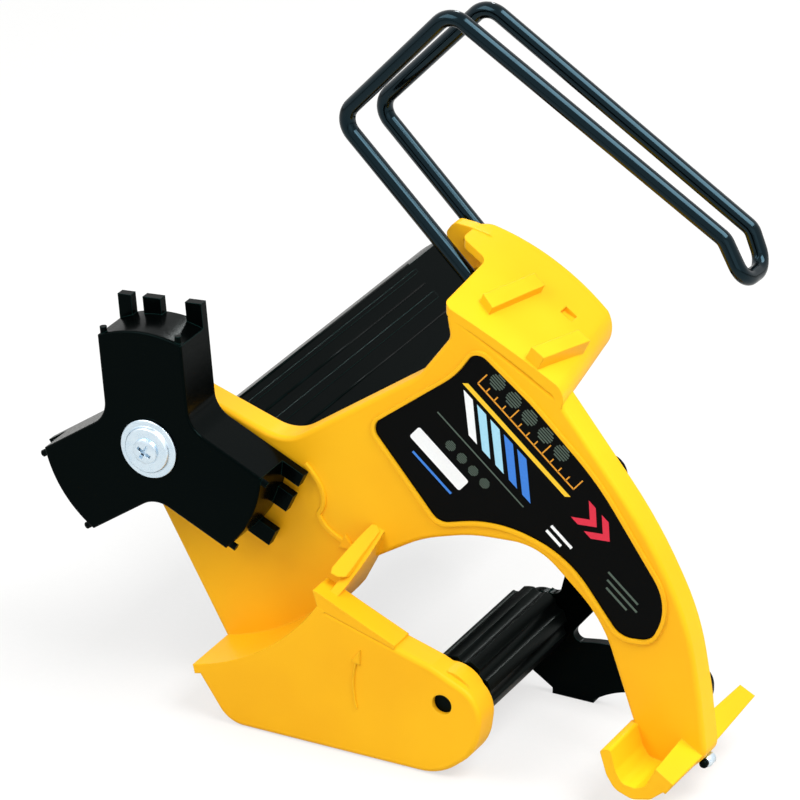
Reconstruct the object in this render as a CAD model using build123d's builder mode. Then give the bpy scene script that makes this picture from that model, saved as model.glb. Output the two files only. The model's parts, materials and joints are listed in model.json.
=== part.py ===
"""Masking paper dispenser: a hand-held frame with a tape hub in front and a paper mandrel behind.

X runs to the right along the frame plate, Y runs away from the user's side, and Z is up.
The plate's front face is Y = 0, and the dispenser stands on Z = 0.
Heights in the values below are taken from a datum line that lies datum_high above the bench.
All sizes are in millimetres.
"""

import os
from math import atan2, cos, radians, sin

from build123d import *

os.makedirs("parts", exist_ok=True)

datum_high = 2.6        # height of the datum line over the bench

# Clearances
run_gap = 0.06          # radial gap of a turning fit
side_gap = 0.4          # end play between a turning piece and its neighbour
seat_gap = 0.15         # gap round a label or a loosely seated piece

# Frame plate and handle
skin = 3.0              # wall of the plate
rim_wall = 2.8          # wall that runs round the plate's back
rim_back = 9.0          # depth of that wall
edge_round = 1.6        # rounding of the front edge
rib_wall = 1.6
rib_pitch = 21.0
rib_count = 9
rib_back = 7.0
rib_high = 300.0        # ribs are cut to the plate's outline
boss_rise = 2.4         # height of the bosses over the rim's back
insert_floor = 1.6      # wall in front of the paper hub's insert
spindle_boss_wall = 3.0

# Tape hub in front of the plate
tape_axis = (-90.0, 83.0)
core_radius = 38.0      # arms fit a 76 mm paper core
tape_hub_back = -1.5
tape_hub_front = -18.5
tape_hub_angles = (95, 215, 335)
tape_arm_width = 29.0
tape_hub_wall = 2.2
tape_hub_fillet = 9.0
tape_sleeve_radius = 6.0
tape_pad_radius = 10.0
tape_pad_front = -0.9
tape_washer_radius = 9.5
tape_washer_wall = 1.0
tape_washer_dish = 1.1
tape_washer_cup = 6.4   # radius of the washer's sunk middle
tape_boss_radius = 9.0
tape_screw_radius = 2.0
tape_screw_head_radius = 3.9
tape_screw_head = 2.6
insert_radius = 3.2
tape_edge_round = 0.8
prongs = [(12.2, 4.6), (2.7, 6.2), (-11.7, 5.6)]       # place across the arm, width
prong_tip = core_radius + 5.2
prong_depth = 3.0
nub_radius = 1.1
nub_reach = 2.6
nub_inset = 1.6         # from the arm's side and from its front
nub_drop = 2.9          # how far the round end falls back at the arm's sides
prong_inset = 3.6       # how far inside the core's seat prongs and nubs start
prong_root = core_radius - prong_inset
recess_wide = 0.9
recess_deep = 1.2
screw_end_gap = 1.0     # from the tape screw's end to the insert's end
spring_gap = 0.5
spring_wall = 0.4
insert_length = 7.0

# Shroud wall, concentric with the tape hub, and the guide finger that continues it
shroud_radius = 70.0
shroud_wall = 3.0
shroud_start = -77.0
shroud_middle = -55.0
shroud_end = -33.0
shroud_gap = -36.0      # where the plate's edge leaves the shroud
finger_end = -15.5
finger_overlap = 1.0    # degrees that the finger runs into the shroud
finger_past = 4.0       # how far the slanting cut reaches past the finger's tip
finger_cut = 12.0

# Applicator lobe
lobe_front = -22.0
lobe_skin = 3.0
lobe_wall = 2.8
lobe_rim_back = -12.4
lobe_skirt_back = 12.0
skirt_middle = -32.0
skirt_width = 78.0
skirt_high = 16.6
roller_axis = (11.0, 22.0)
lobe_bore_radius = 3.25
lobe_boss_radius = 10.0
lobe_boss_back = -11.8

# Label
label_recess = 0.5
label_wall = 0.4
label_rim_wall = 1.3
label_rim_high = 0.7

# Top flange: section at the plate and section at the free edge, then its outline seen from above
flange_skin = 3.0
flange_depth = 43.0
roll_share = 0.65       # place of the rolled edge's shoulder between its two ends
roll_bulge = (1.6, 1.2)
roll_step = 0.8
flange_front = [(-9.0, 145.5), (18.5, 133.6), (37.0, 124.0), (38.0, 115.5)]    # left, middle, right, roll end
flange_back = [(-12.9, 151.0), (16.1, 142.0), (33.0, 129.6), (32.5, 118.3)]
flange_plan = [
    ((-0.4, 0.0), 3.0), ((0.3, 27.0), 3.5), ((-10.0, 31.5), 3.0), ((-9.0, 43.0), 5.0),
    ((46.0, 43.0), 4.0), ((46.0, 0.0), 1.0),
]
gussets = [(7.0, 136.5, 143.6), (29.0, 126.0, 130.6)]     # x, top at the front, top at the back
gusset_drop = 14.0
gusset_wall = 2.2
gusset_tip = 4.0
gusset_end = flange_depth - 2.0
trim_low = 100.0
trim_high = 70.0
top_slope = -25.8       # degrees of the top along X
top_origin = (-0.6, 0.0, 142.2)
rails = [               # corners along slope and depth, top at the front, its rise per depth, height over it
    ([(7.4, 9.6), (12.4, 7.2), (18.4, 28.0), (13.4, 30.0)], 0.45, 0.157, 2.8),
    ([(29.6, 1.2), (34.6, 0.4), (40.2, 20.0), (35.2, 21.0)], 0.33, 0.071, 4.6),
]
rail_root = 1.5
dent = ([(26.6, 26.8), (31.0, 26.8), (31.0, 30.4), (26.6, 30.4)], 0.53, 0.114, 1.4)

# Ear under the flange, with the boss in which the bail's ends turn
ear_corners = [
    ((-10.4, 150.2), 1.0), ((-15.9, 150.6), 2.6), ((-18.8, 146.4), 2.2), ((-13.4, 140.6), 1.0),
    ((-9.0, 134.6), 1.0), ((3.4, 134.0), 1.0), ((3.4, 145.5), 1.0), ((-4.0, 149.0), 1.0),
]
ear_window = [(-12.6, 145.6), (-9.4, 146.8), (-1.6, 142.2), (-5.0, 140.6), (-10.0, 141.2)]
ear_wall = (37.4, 41.6)
ear_front = 33.2
ear_back = 45.8
ear_radius = 6.4

# Roll bail: corners of the front strand and of the back strand, from the pivot to the far end
bail_pivot = (-3.0, 134.0)
bail_front = [
    (-3.0, 30.0, 134.0), (-50.3, 30.0, 180.6), (-14.4, 31.8, 220.5), (75.2, 32.2, 165.7), (81.7, 32.2, 153.6),
]
bail_back = [
    (-3.0, 49.0, 134.0), (-47.6, 49.0, 178.3), (-10.1, 47.2, 218.4), (77.3, 46.8, 163.9), (81.7, 46.8, 152.6),
]
bail_bends = [3.0, 6.5, 6.5, 4.5, 5.5]      # bend radius at each corner
wire_radius = 2.5
bail_pin_depth = 5.4
bush_wall = 1.2

# Paper mandrel behind the plate
paper_axis = (-59.2, 54.6)
paper_hub_front = 12.0
paper_hub_back = 128.0
paper_hub_angles = (136, 256, 16)
paper_arm_width = 22.0
paper_tongue_back = 150.0       # the first arm runs on as a guide for the core
paper_tongue_start = 13.5
paper_hub_wall = 1.7
paper_hub_fillet = 6.0
paper_root_inset = 10.0
paper_root_radius = core_radius - paper_root_inset
paper_root_wall = 2.4
paper_ribs = [(4.6, 1.3), (14.3, 2.5)]          # depth under the core's seat and width of an arm's ribs
paper_web_inset = 1.0
paper_rib_high = 0.9
paper_barb_high = 1.8
paper_barb_width = 7.0
paper_barb_length = 4.0
spindle_radius = 7.0
spindle_socket = 6.0
spindle_back = 52.0
paper_tube_wall = 2.0
paper_washer_radius = 10.5
paper_washer_wall = 1.4
paper_screw_radius = 2.5
paper_screw_head_radius = 4.6
paper_screw_head = 3.2

# Applicator roller and rear bracket
roller_radius = 11.1
roller_front = -11.2
roller_back = 40.4
roller_flutes = 9
roller_flute_radius = 2.6
roller_flute_depth = 1.2
roller_bore_radius = 3.4
roller_wall = 1.8
journal_inset = 1.6     # from the lobe's face to the roller's front journal
journal_over = 1.4      # behind the clip
bracket_front = 41.2
bracket_wall = 3.0
bracket_foot_back = 68.0
post_radius = 4.6
post_upper = (33.0, 77.0)
post_lower = (63.6, 11.0)
bracket_screw_radius = 1.9
bracket_screw_head_radius = 3.6
bracket_screw_head = 2.2
bracket_screw_length = 14.0
bracket_screw_tip = 1.5
bracket_washer_radius = 4.4
bracket_washer_wall = 0.8
bracket_boss_radius = 7.0
bracket_boss_back = 47.0
bracket_foot_x = 24.0
bracket_foot_width = 14.0
bracket_foot_wall = 2.4
roller_clip_wall = 0.9
roller_clip_radius = 5.0
roller_groove_radius = 2.6

# Foot tray under the handle
tray_front = -19.0
tray_back = 2.0
tray_corners = [
    ((61.8, 18.2), 1.0), ((64.2, 10.4), 5), ((67.0, 6.2), 5), ((72.6, 4.2), 5), ((78.6, 5.6), 4),
    ((86.2, 12.0), 1.2), ((81.0, 15.2), 1), ((76.8, 9.4), 2), ((73.6, 8.0), 2), ((69.4, 8.6), 3),
    ((67.0, 12.2), 3), ((65.2, 19.0), 1.0),
]
lip_sections = [        # depth, then corners of the lip's section
    (-19.0, [(80.2, 16.2), (86.0, 12.4), (83.6, 8.8), (77.6, 11.0)]),
    (3.0, [(79.6, 17.4), (86.8, 13.2), (84.2, 9.2), (77.2, 13.0)]),
    (39.0, [(81.0, 17.2), (86.0, 14.6), (83.4, 10.8), (78.6, 13.0)]),
]
# Foot pin: a steel pin along the depth under the lip, with a soft tip in front
foot_pin_axis = (85.6, 8.5)
foot_pin_radius = 2.0
foot_pin_front = 5.0
foot_pin_back = 21.0
foot_pin_neck = 1.0
foot_bumper_front = 3.4
foot_bumper_wall = 0.5

# Derived places
bench = -datum_high
bracket_back = bracket_front + bracket_wall
roller_journal_front = lobe_front + journal_inset
roller_clip_front = bracket_boss_back + side_gap
roller_journal_back = roller_clip_front + roller_clip_wall + journal_over
bush_radius = wire_radius + run_gap + bush_wall
boss_back = rim_back + boss_rise
socket_front = boss_back - spindle_socket
insert_front = boss_back - insert_length
bores = [
    (tape_axis, insert_radius, insert_front, boss_back),
    (tape_axis, tape_screw_radius + run_gap, tape_pad_front, insert_front),
    (paper_axis, spindle_radius, socket_front, boss_back),
    (paper_axis, insert_radius, insert_floor, socket_front),
    (bail_pivot, bush_radius, ear_front, ear_back),
    (post_upper, bracket_screw_radius, bracket_front - bracket_screw_length, bracket_front),
    (post_lower, bracket_screw_radius, bracket_front - bracket_screw_length, bracket_front),
]
bosses = [
    (tape_axis, tape_boss_radius, skin, boss_back),
    (paper_axis, spindle_radius + spindle_boss_wall, skin, boss_back),
    (post_upper, post_radius, skin, bracket_front),
    (post_lower, post_radius, 0, bracket_front),
]


def at_y(y):
    """Plane across the depth axis at depth y, seen from the front."""
    return Plane.XZ.offset(-y)


def polar(centre, radius, angle):
    """Point at a radius and an angle in degrees round a centre."""
    return (centre[0] + radius * cos(radians(angle)), centre[1] + radius * sin(radians(angle)))


def write(part, name):
    """Set one finished piece over the bench, label it and write it to its file."""
    part = part.moved(Location((0, 0, datum_high)))
    part.label = name
    export_step(part, f"parts/{name}.step")


# Frame outline: corner points with the radius of each corner, anticlockwise from the finger gap
shroud_outer = shroud_radius + shroud_wall
gap_foot = polar(tape_axis, shroud_outer, shroud_gap)
shroud_mid = polar(tape_axis, shroud_outer, shroud_middle)
left_corner = polar(tape_axis, shroud_outer, shroud_start)
plate_corners = [
    ((-25.0, 52.0), 10), ((-7.5, 63.0), 45), ((9.0, 68.2), 50), ((31.0, 69.6), 20),
    ((52.4, 50.4), 40), ((68.2, 5.4), 8), ((83.0, 7.6), 4), ((87.6, 12.8), 5), ((85.2, 32.0), 60),
    ((81.0, 55.0), 80), ((67.4, 82.0), 150), ((37.2, 119.6), 2), ((0.2, 140.6), 1.5),
    ((1.8, 131.5), 4), ((-8.6, 117.0), 16), ((-53.6, 85.1), 14), ((-103.0, 101.2), 13),
    ((-104.0, 66.0), 20), ((-96.2, 52.6), 4),
]
label_corners = [
    ((11.0, 130.0), 4), ((4.4, 120.0), 30), ((-24.4, 97.4), 4), ((-1.4, 70.2), 5),
    ((18.0, 75.8), 40), ((41.5, 69.0), 34), ((59.0, 46.4), 7), ((69.2, 47.4), 6),
    ((75.0, 60.6), 16), ((51.0, 95.4), 90), ((29.4, 115.8), 60),
]
lobe_corners = [
    ((7.0, 33.6), 6), ((24.6, 25.6), 11), ((22.4, 8.0), 16), ((10.0, bench), 18), ((-62.4, bench), 10),
]
bracket_corners = [
    ((9.0, 4.6), 3), ((20.0, bench), 5), ((29.5, bench), 5), ((40.0, 4.8), 30), ((63.0, 4.6), 6),
    ((70.2, 5.0), 6), ((70.0, 18.0), 6), ((34.0, 18.8), 40), ((20.6, 16.4), 2.4), ((31.0, 29.5), 12),
    ((36.5, 50.0), 30), ((40.5, 80.5), 6), ((27.0, 84.0), 6), ((24.5, 55.0), 40), ((18.6, 30.2), 3),
    ((12.0, 34.0), 9), ((0.0, 22.0), 10),
]


def rounded_loop(corners):
    """Closed line through corner points, each rounded with its own radius."""
    points = [point for point, radius in corners]
    return FilletPolyline(*points, radius=[radius for point, radius in corners], close=True)


# Sketches that several pieces share
with BuildSketch() as plate_outline:
    with BuildLine():
        points = [gap_foot] + [point for point, radius in plate_corners] + [left_corner]
        FilletPolyline(*points, radius=[radius for point, radius in plate_corners])
        ThreePointArc(left_corner, shroud_mid, gap_foot)
    make_face()

with BuildSketch() as label_outline:
    with BuildLine():
        rounded_loop(label_corners)
    make_face()

with BuildSketch() as lobe_outline:
    with BuildLine():
        lobe_top = polar(tape_axis, shroud_radius, shroud_end)
        lobe_foot = polar(tape_axis, shroud_radius, shroud_start)
        points = [lobe_top] + [point for point, radius in lobe_corners] + [lobe_foot]
        FilletPolyline(*points, radius=[radius for point, radius in lobe_corners])
        ThreePointArc(points[-1], polar(tape_axis, shroud_radius, shroud_middle), lobe_top)
    make_face()


# Frame: one moulding with plate, handle, shroud, lobe, flange and foot tray
def shroud_sector(start, end, inner, outer):
    """Face of a ring sector round the tape hub's axis."""
    middle = (start + end) / 2
    with BuildSketch() as sector:
        with BuildLine():
            inner_arc = ThreePointArc(*[polar(tape_axis, inner, angle) for angle in (start, middle, end)])
            outer_arc = ThreePointArc(*[polar(tape_axis, outer, angle) for angle in (start, middle, end)])
            Line(inner_arc @ 0, outer_arc @ 0)
            Line(inner_arc @ 1, outer_arc @ 1)
        make_face()
    return sector.sketch


def flange_face(left, middle, right, roll_end):
    """Cross-section of the top flange: a crowned top that rolls down at its right end."""
    slope = atan2(right[1] - left[1], right[0] - left[0])
    normal = (-sin(slope), cos(slope))
    shoulder = (roll_share * right[0] + (1 - roll_share) * roll_end[0] + roll_bulge[0],
                (right[1] + roll_end[1]) / 2 + roll_bulge[1])

    def inset(point):
        return (point[0] - flange_skin * normal[0], point[1] - flange_skin * normal[1])

    inner_right = inset((right[0] - flange_skin / 2, right[1]))
    inner_shoulder = (shoulder[0] - flange_skin, shoulder[1] - roll_step)
    inner_end = (roll_end[0] - flange_skin, roll_end[1])
    with BuildSketch() as face:
        with BuildLine():
            ThreePointArc(left, middle, right)
            ThreePointArc(right, shoulder, roll_end)
            Line(roll_end, inner_end)
            ThreePointArc(inner_end, inner_shoulder, inner_right)
            ThreePointArc(inner_right, inset(middle), inset(left))
            Line(inset(left), left)
        make_face()
    return face.sketch


def flange_block(corners, base, rise, low, high):
    """Block that follows the flange's tilted top, between two heights over it."""
    tilt = radians(top_slope)
    outlines = []
    for over in (low, high):
        outline = []
        for along, depth in corners:
            height = base + rise * depth + over
            outline.append((top_origin[0] + along * cos(tilt) - height * sin(tilt), depth,
                            top_origin[2] + along * sin(tilt) + height * cos(tilt)))
        outlines.append(Wire.make_polygon(outline))
    return Solid.make_loft(outlines, ruled=True)


with BuildPart() as frame:
    # Plate with its rim, open at the back
    with BuildSketch(at_y(0)):
        add(plate_outline.sketch)
    extrude(amount=-rim_back)
    fillet(frame.faces().sort_by(Axis.Y)[0].edges(), edge_round)
    with BuildSketch(at_y(skin)):
        add(plate_outline.sketch)
        offset(amount=-rim_wall, kind=Kind.INTERSECTION)
    extrude(amount=-rim_back, mode=Mode.SUBTRACT)
    # Stiffening ribs across the back
    with BuildSketch(at_y(skin)):
        with GridLocations(rib_pitch, 1, rib_count, 1):
            Rectangle(rib_wall, rib_high)
        with BuildSketch(at_y(skin), mode=Mode.PRIVATE) as rib_field:
            add(plate_outline.sketch)
            offset(amount=-rim_wall, kind=Kind.INTERSECTION)
        add(rib_field.sketch, mode=Mode.INTERSECT)
    extrude(amount=-(rib_back - skin))
    # Applicator lobe: front cheek, its rim, and the skirt that the dispenser stands on
    with BuildSketch(at_y(lobe_front)):
        add(lobe_outline.sketch)
    extrude(amount=-(lobe_rim_back - lobe_front))
    lobe_face = frame.faces().sort_by(Axis.Y)[0]
    shroud_edge = lobe_face.edges().filter_by(GeomType.CIRCLE).sort_by(SortBy.RADIUS)[-1]
    fillet([edge for edge in lobe_face.edges() if edge != shroud_edge], edge_round)
    with BuildSketch(at_y(lobe_front + lobe_skin)):
        add(lobe_outline.sketch)
        offset(amount=-lobe_wall, kind=Kind.INTERSECTION)
    extrude(amount=-(lobe_rim_back - lobe_front), mode=Mode.SUBTRACT)
    with BuildSketch(at_y(lobe_front + lobe_skin)):
        add(lobe_outline.sketch)
        with BuildSketch(at_y(lobe_front + lobe_skin), mode=Mode.PRIVATE) as lobe_inside:
            add(lobe_outline.sketch)
            offset(amount=-lobe_wall, kind=Kind.INTERSECTION)
        add(lobe_inside.sketch, mode=Mode.SUBTRACT)
        with Locations((skirt_middle, bench)):
            Rectangle(skirt_width, skirt_high, align=(Align.CENTER, Align.MIN), mode=Mode.INTERSECT)
    extrude(amount=-(lobe_skirt_back - lobe_front - lobe_skin))
    # Shroud wall between plate and lobe, and the guide finger that runs out of it
    with BuildSketch(at_y(lobe_front)):
        add(shroud_sector(shroud_start, shroud_end, shroud_radius, shroud_outer))
    extrude(amount=-(skin - lobe_front))
    finger_foot = Vector(*polar(tape_axis, shroud_radius, shroud_end))
    finger_tip = Vector(*polar(tape_axis, shroud_radius, finger_end))
    finger_length = (finger_tip - finger_foot).length
    slope_plane = Plane(origin=(finger_foot.X, 0, finger_foot.Y),
                        x_dir=(finger_tip.X - finger_foot.X, 0, finger_tip.Y - finger_foot.Y),
                        z_dir=(finger_tip.Y - finger_foot.Y, 0, finger_foot.X - finger_tip.X))
    with BuildPart(mode=Mode.PRIVATE) as finger:
        with BuildSketch(at_y(lobe_front)):
            add(shroud_sector(shroud_end - finger_overlap, finger_end, shroud_radius, shroud_outer))
        extrude(amount=-(skin - lobe_front))
        with BuildSketch(slope_plane) as slope:
            with BuildLine():
                side = 1 if slope_plane.y_dir.Y > 0 else -1
                Polyline((0, lobe_front * side), (finger_length + finger_past, lobe_front * side),
                         (finger_length + finger_past, 0), (finger_length, 0), close=True)
            make_face()
        extrude(amount=finger_cut, both=True, mode=Mode.SUBTRACT)
    add(finger.part)
    # Boss and bore for the roller's front journal
    with BuildSketch(at_y(lobe_front + lobe_skin)):
        with Locations(roller_axis):
            Circle(lobe_boss_radius)
    extrude(amount=-(lobe_boss_back - lobe_front - lobe_skin))
    with BuildSketch(at_y(lobe_front)):
        with Locations(roller_axis):
            Circle(lobe_bore_radius)
    extrude(amount=-(lobe_boss_back - lobe_front), mode=Mode.SUBTRACT)
    # Top flange: lofted from plate to free edge and trimmed to its outline
    with BuildPart(mode=Mode.PRIVATE) as flange:
        with BuildSketch(at_y(0)):
            add(flange_face(*flange_front))
        with BuildSketch(at_y(flange_depth)):
            add(flange_face(*flange_back))
        loft()
        with BuildSketch(Plane.XY.offset(trim_low)):
            with BuildLine():
                rounded_loop(flange_plan)
            make_face()
        extrude(amount=trim_high, mode=Mode.INTERSECT)
    add(flange.part)
    # Ear with its window, and the boss for the bail's bushes
    with BuildSketch(at_y(ear_wall[0])):
        with BuildLine():
            rounded_loop(ear_corners)
        make_face()
        with BuildLine():
            Polyline(*ear_window, close=True)
        make_face(mode=Mode.SUBTRACT)
    extrude(amount=-(ear_wall[1] - ear_wall[0]))
    with BuildSketch(at_y(ear_front)):
        with Locations(bail_pivot):
            Circle(ear_radius)
    extrude(amount=-(ear_back - ear_front))
    for gusset_x, gusset_top, gusset_top_back in gussets:
        with BuildSketch(Plane.YZ.offset(gusset_x)):
            with BuildLine():
                Polyline((skin, gusset_top - gusset_drop), (skin, gusset_top), (gusset_end, gusset_top_back),
                         (gusset_end, gusset_top_back - gusset_tip), close=True)
            make_face()
        extrude(amount=gusset_wall / 2, both=True)
    # Rails and detent of the accessory seat on the flange
    for corners, base, rise, high in rails:
        add(flange_block(corners, base, rise, -rail_root, high))
    corners, base, rise, sunk = dent
    add(flange_block(corners, base, rise, -sunk, rail_root), mode=Mode.SUBTRACT)
    # Bosses and posts behind the plate
    for place, radius, near, back in bosses:
        with BuildSketch(at_y(near)):
            with Locations(place):
                Circle(radius)
        extrude(amount=-(back - near))
    # Raised pad behind the tape hub
    with BuildSketch(at_y(0)):
        with Locations(tape_axis):
            Circle(tape_pad_radius)
    extrude(amount=-tape_pad_front)
    # Foot tray under the handle
    with BuildSketch(at_y(tray_front)):
        with BuildLine():
            rounded_loop(tray_corners)
        make_face()
    extrude(amount=-(tray_back - tray_front))
    for depth, corners in lip_sections:
        with BuildSketch(at_y(depth)):
            with BuildLine():
                Polyline(*corners, close=True)
            make_face()
    loft(ruled=True)
    # Recess and raised rim of the label
    with BuildSketch(at_y(0)):
        add(label_outline.sketch)
        offset(amount=seat_gap + label_rim_wall)
    extrude(amount=label_rim_high)
    with BuildSketch(at_y(-label_rim_high)):
        add(label_outline.sketch)
        offset(amount=seat_gap)
    extrude(amount=-(label_rim_high + label_recess), mode=Mode.SUBTRACT)
    # Bores for inserts, screws and the bail's bushes
    for place, radius, near, far in bores:
        with BuildSketch(at_y(near)):
            with Locations(place):
                Circle(radius)
        extrude(amount=-(far - near), mode=Mode.SUBTRACT)
    # Groove in which the foot pin is pressed
    with BuildSketch(at_y(foot_bumper_front)):
        with Locations(foot_pin_axis):
            Circle(foot_pin_radius)
    extrude(amount=-(foot_pin_back - foot_bumper_front), mode=Mode.SUBTRACT)

write(frame.part, "frame")
print("frame", round(frame.part.volume), len(frame.part.solids()))


# Label seated in the recess
with BuildPart() as label_panel:
    with BuildSketch(at_y(label_recess)):
        add(label_outline.sketch)
    extrude(amount=label_wall)
write(label_panel.part, "label_panel")


def hub_arms(angles, width, reach, root_fillet, start=0.0):
    """Face of a hub's arms, which span a round core."""
    with BuildSketch() as arms:
        for angle in angles:
            with Locations(Location(polar((0, 0), start, angle), angle)):
                Rectangle(reach - start, width, align=(Align.MIN, Align.CENTER))
        fillet(arms.vertices().group_by(lambda corner: round(Vector(*corner).length, 1))[0], root_fillet)
        Circle(reach, mode=Mode.INTERSECT)
    return arms.sketch


# Tape hub: open at the back, with prongs that stop the core and studs that grip it
with BuildPart() as tape_hub:
    hub_depth = tape_hub_back - tape_hub_front
    with BuildSketch(at_y(tape_hub_front)):
        with Locations(tape_axis):
            add(hub_arms(tape_hub_angles, tape_arm_width, core_radius, tape_hub_fillet))
    extrude(amount=-hub_depth)
    fillet(tape_hub.faces().sort_by(Axis.Y)[0].edges(), tape_edge_round)
    with BuildSketch(at_y(tape_hub_front + tape_hub_wall)):
        with Locations(tape_axis):
            add(hub_arms(tape_hub_angles, tape_arm_width - 2 * tape_hub_wall, core_radius - tape_hub_wall,
                         tape_hub_fillet + tape_hub_wall))
    extrude(amount=-hub_depth, mode=Mode.SUBTRACT)
    with BuildSketch(at_y(tape_hub_front + tape_hub_wall)):
        with Locations(tape_axis):
            Circle(tape_sleeve_radius + run_gap + tape_hub_wall)
    extrude(amount=-(hub_depth - tape_hub_wall))
    with BuildSketch(at_y(tape_hub_back)):
        for angle in tape_hub_angles:
            with Locations(Location(polar(tape_axis, prong_root, angle), angle)):
                for across, width in prongs:
                    with Locations((0, across)):
                        Rectangle(prong_tip - prong_root, width, align=(Align.MIN, Align.CENTER))
    extrude(amount=prong_depth)
    for angle in tape_hub_angles:
        outward = Vector(cos(radians(angle)), 0, sin(radians(angle)))
        for side in (-1, 1):
            across = side * (tape_arm_width / 2 - nub_inset)
            near = Vector(-across * outward.Z, 0, across * outward.X) + outward * prong_root
            centre = Vector(tape_axis[0], tape_hub_front + nub_inset, tape_axis[1]) + near
            with BuildSketch(Plane(origin=centre, z_dir=outward)):
                Circle(nub_radius)
            extrude(amount=core_radius - nub_drop + nub_reach - prong_root)
    with BuildSketch(at_y(tape_hub_front)):
        with Locations(tape_axis):
            Circle(tape_sleeve_radius + run_gap)
    extrude(amount=-hub_depth, mode=Mode.SUBTRACT)
write(tape_hub.part, "tape_hub")

# Sleeve, screw, washer, spring and insert of the tape hub
sleeve_front = tape_hub_front - side_gap
with BuildPart() as tape_spindle:
    with BuildSketch(at_y(tape_pad_front)):
        with Locations(tape_axis):
            Circle(tape_sleeve_radius)
            Circle(tape_screw_radius + run_gap, mode=Mode.SUBTRACT)
    extrude(amount=tape_pad_front - sleeve_front)
write(tape_spindle.part, "tape_spindle")


def turned(axis_point, profile):
    """Solid turned round an axis along Y from (radius, depth) corners."""
    centre = (axis_point[0], 0, axis_point[1])
    with BuildPart() as piece:
        with BuildSketch(Plane(origin=centre, x_dir=(1, 0, 0), z_dir=(0, 0, 1))):
            with BuildLine():
                Polyline(*profile, close=True)
            make_face()
        revolve(axis=Axis(centre, (0, 1, 0)))
    return piece.part


with BuildPart() as tape_hub_washer:
    seat = sleeve_front
    rise = seat - tape_washer_dish
    add(turned(tape_axis, [
        (tape_screw_radius + run_gap, seat), (tape_washer_cup, seat),
        (tape_washer_cup + tape_washer_wall, rise), (tape_washer_radius, rise),
        (tape_washer_radius, rise - tape_washer_wall), (tape_washer_cup, rise - tape_washer_wall),
        (tape_washer_cup - tape_washer_wall, seat - tape_washer_wall),
        (tape_screw_radius + run_gap, seat - tape_washer_wall),
    ]))
write(tape_hub_washer.part, "tape_hub_washer")

with BuildPart() as tape_hub_screw:
    seat = sleeve_front - tape_washer_wall
    add(turned(tape_axis, [
        (0, boss_back - screw_end_gap), (tape_screw_radius, boss_back - screw_end_gap),
        (tape_screw_radius, seat), (tape_screw_head_radius, seat),
        (tape_screw_head_radius, seat - tape_screw_head * 0.5),
        (tape_screw_head_radius * 0.75, seat - tape_screw_head * 0.88),
        (tape_screw_head_radius * 0.3, seat - tape_screw_head), (0, seat - tape_screw_head),
    ]))
    with BuildSketch(at_y(seat - tape_screw_head)):
        with Locations(tape_axis):
            Rectangle(tape_screw_head_radius * 1.1, recess_wide)
            Rectangle(recess_wide, tape_screw_head_radius * 1.1)
    extrude(amount=-recess_deep, mode=Mode.SUBTRACT)
write(tape_hub_screw.part, "tape_hub_screw")

with BuildPart() as tape_insert:
    add(turned(tape_axis, [
        (tape_screw_radius, insert_front), (insert_radius, insert_front),
        (insert_radius, boss_back), (tape_screw_radius, boss_back),
    ]))
write(tape_insert.part, "tape_insert")

with BuildPart() as tape_hub_spring:
    inner = tape_sleeve_radius + spring_gap
    outer = tape_pad_radius - spring_gap
    add(turned(tape_axis, [
        (inner, tape_pad_front), (inner + spring_wall, tape_pad_front),
        (outer, tape_hub_back + spring_wall), (outer, tape_hub_back + side_gap / 4),
        (outer - spring_wall, tape_hub_back + side_gap / 4), (inner, tape_pad_front - spring_wall / 2),
    ]))
write(tape_hub_spring.part, "tape_hub_spring")

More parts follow.
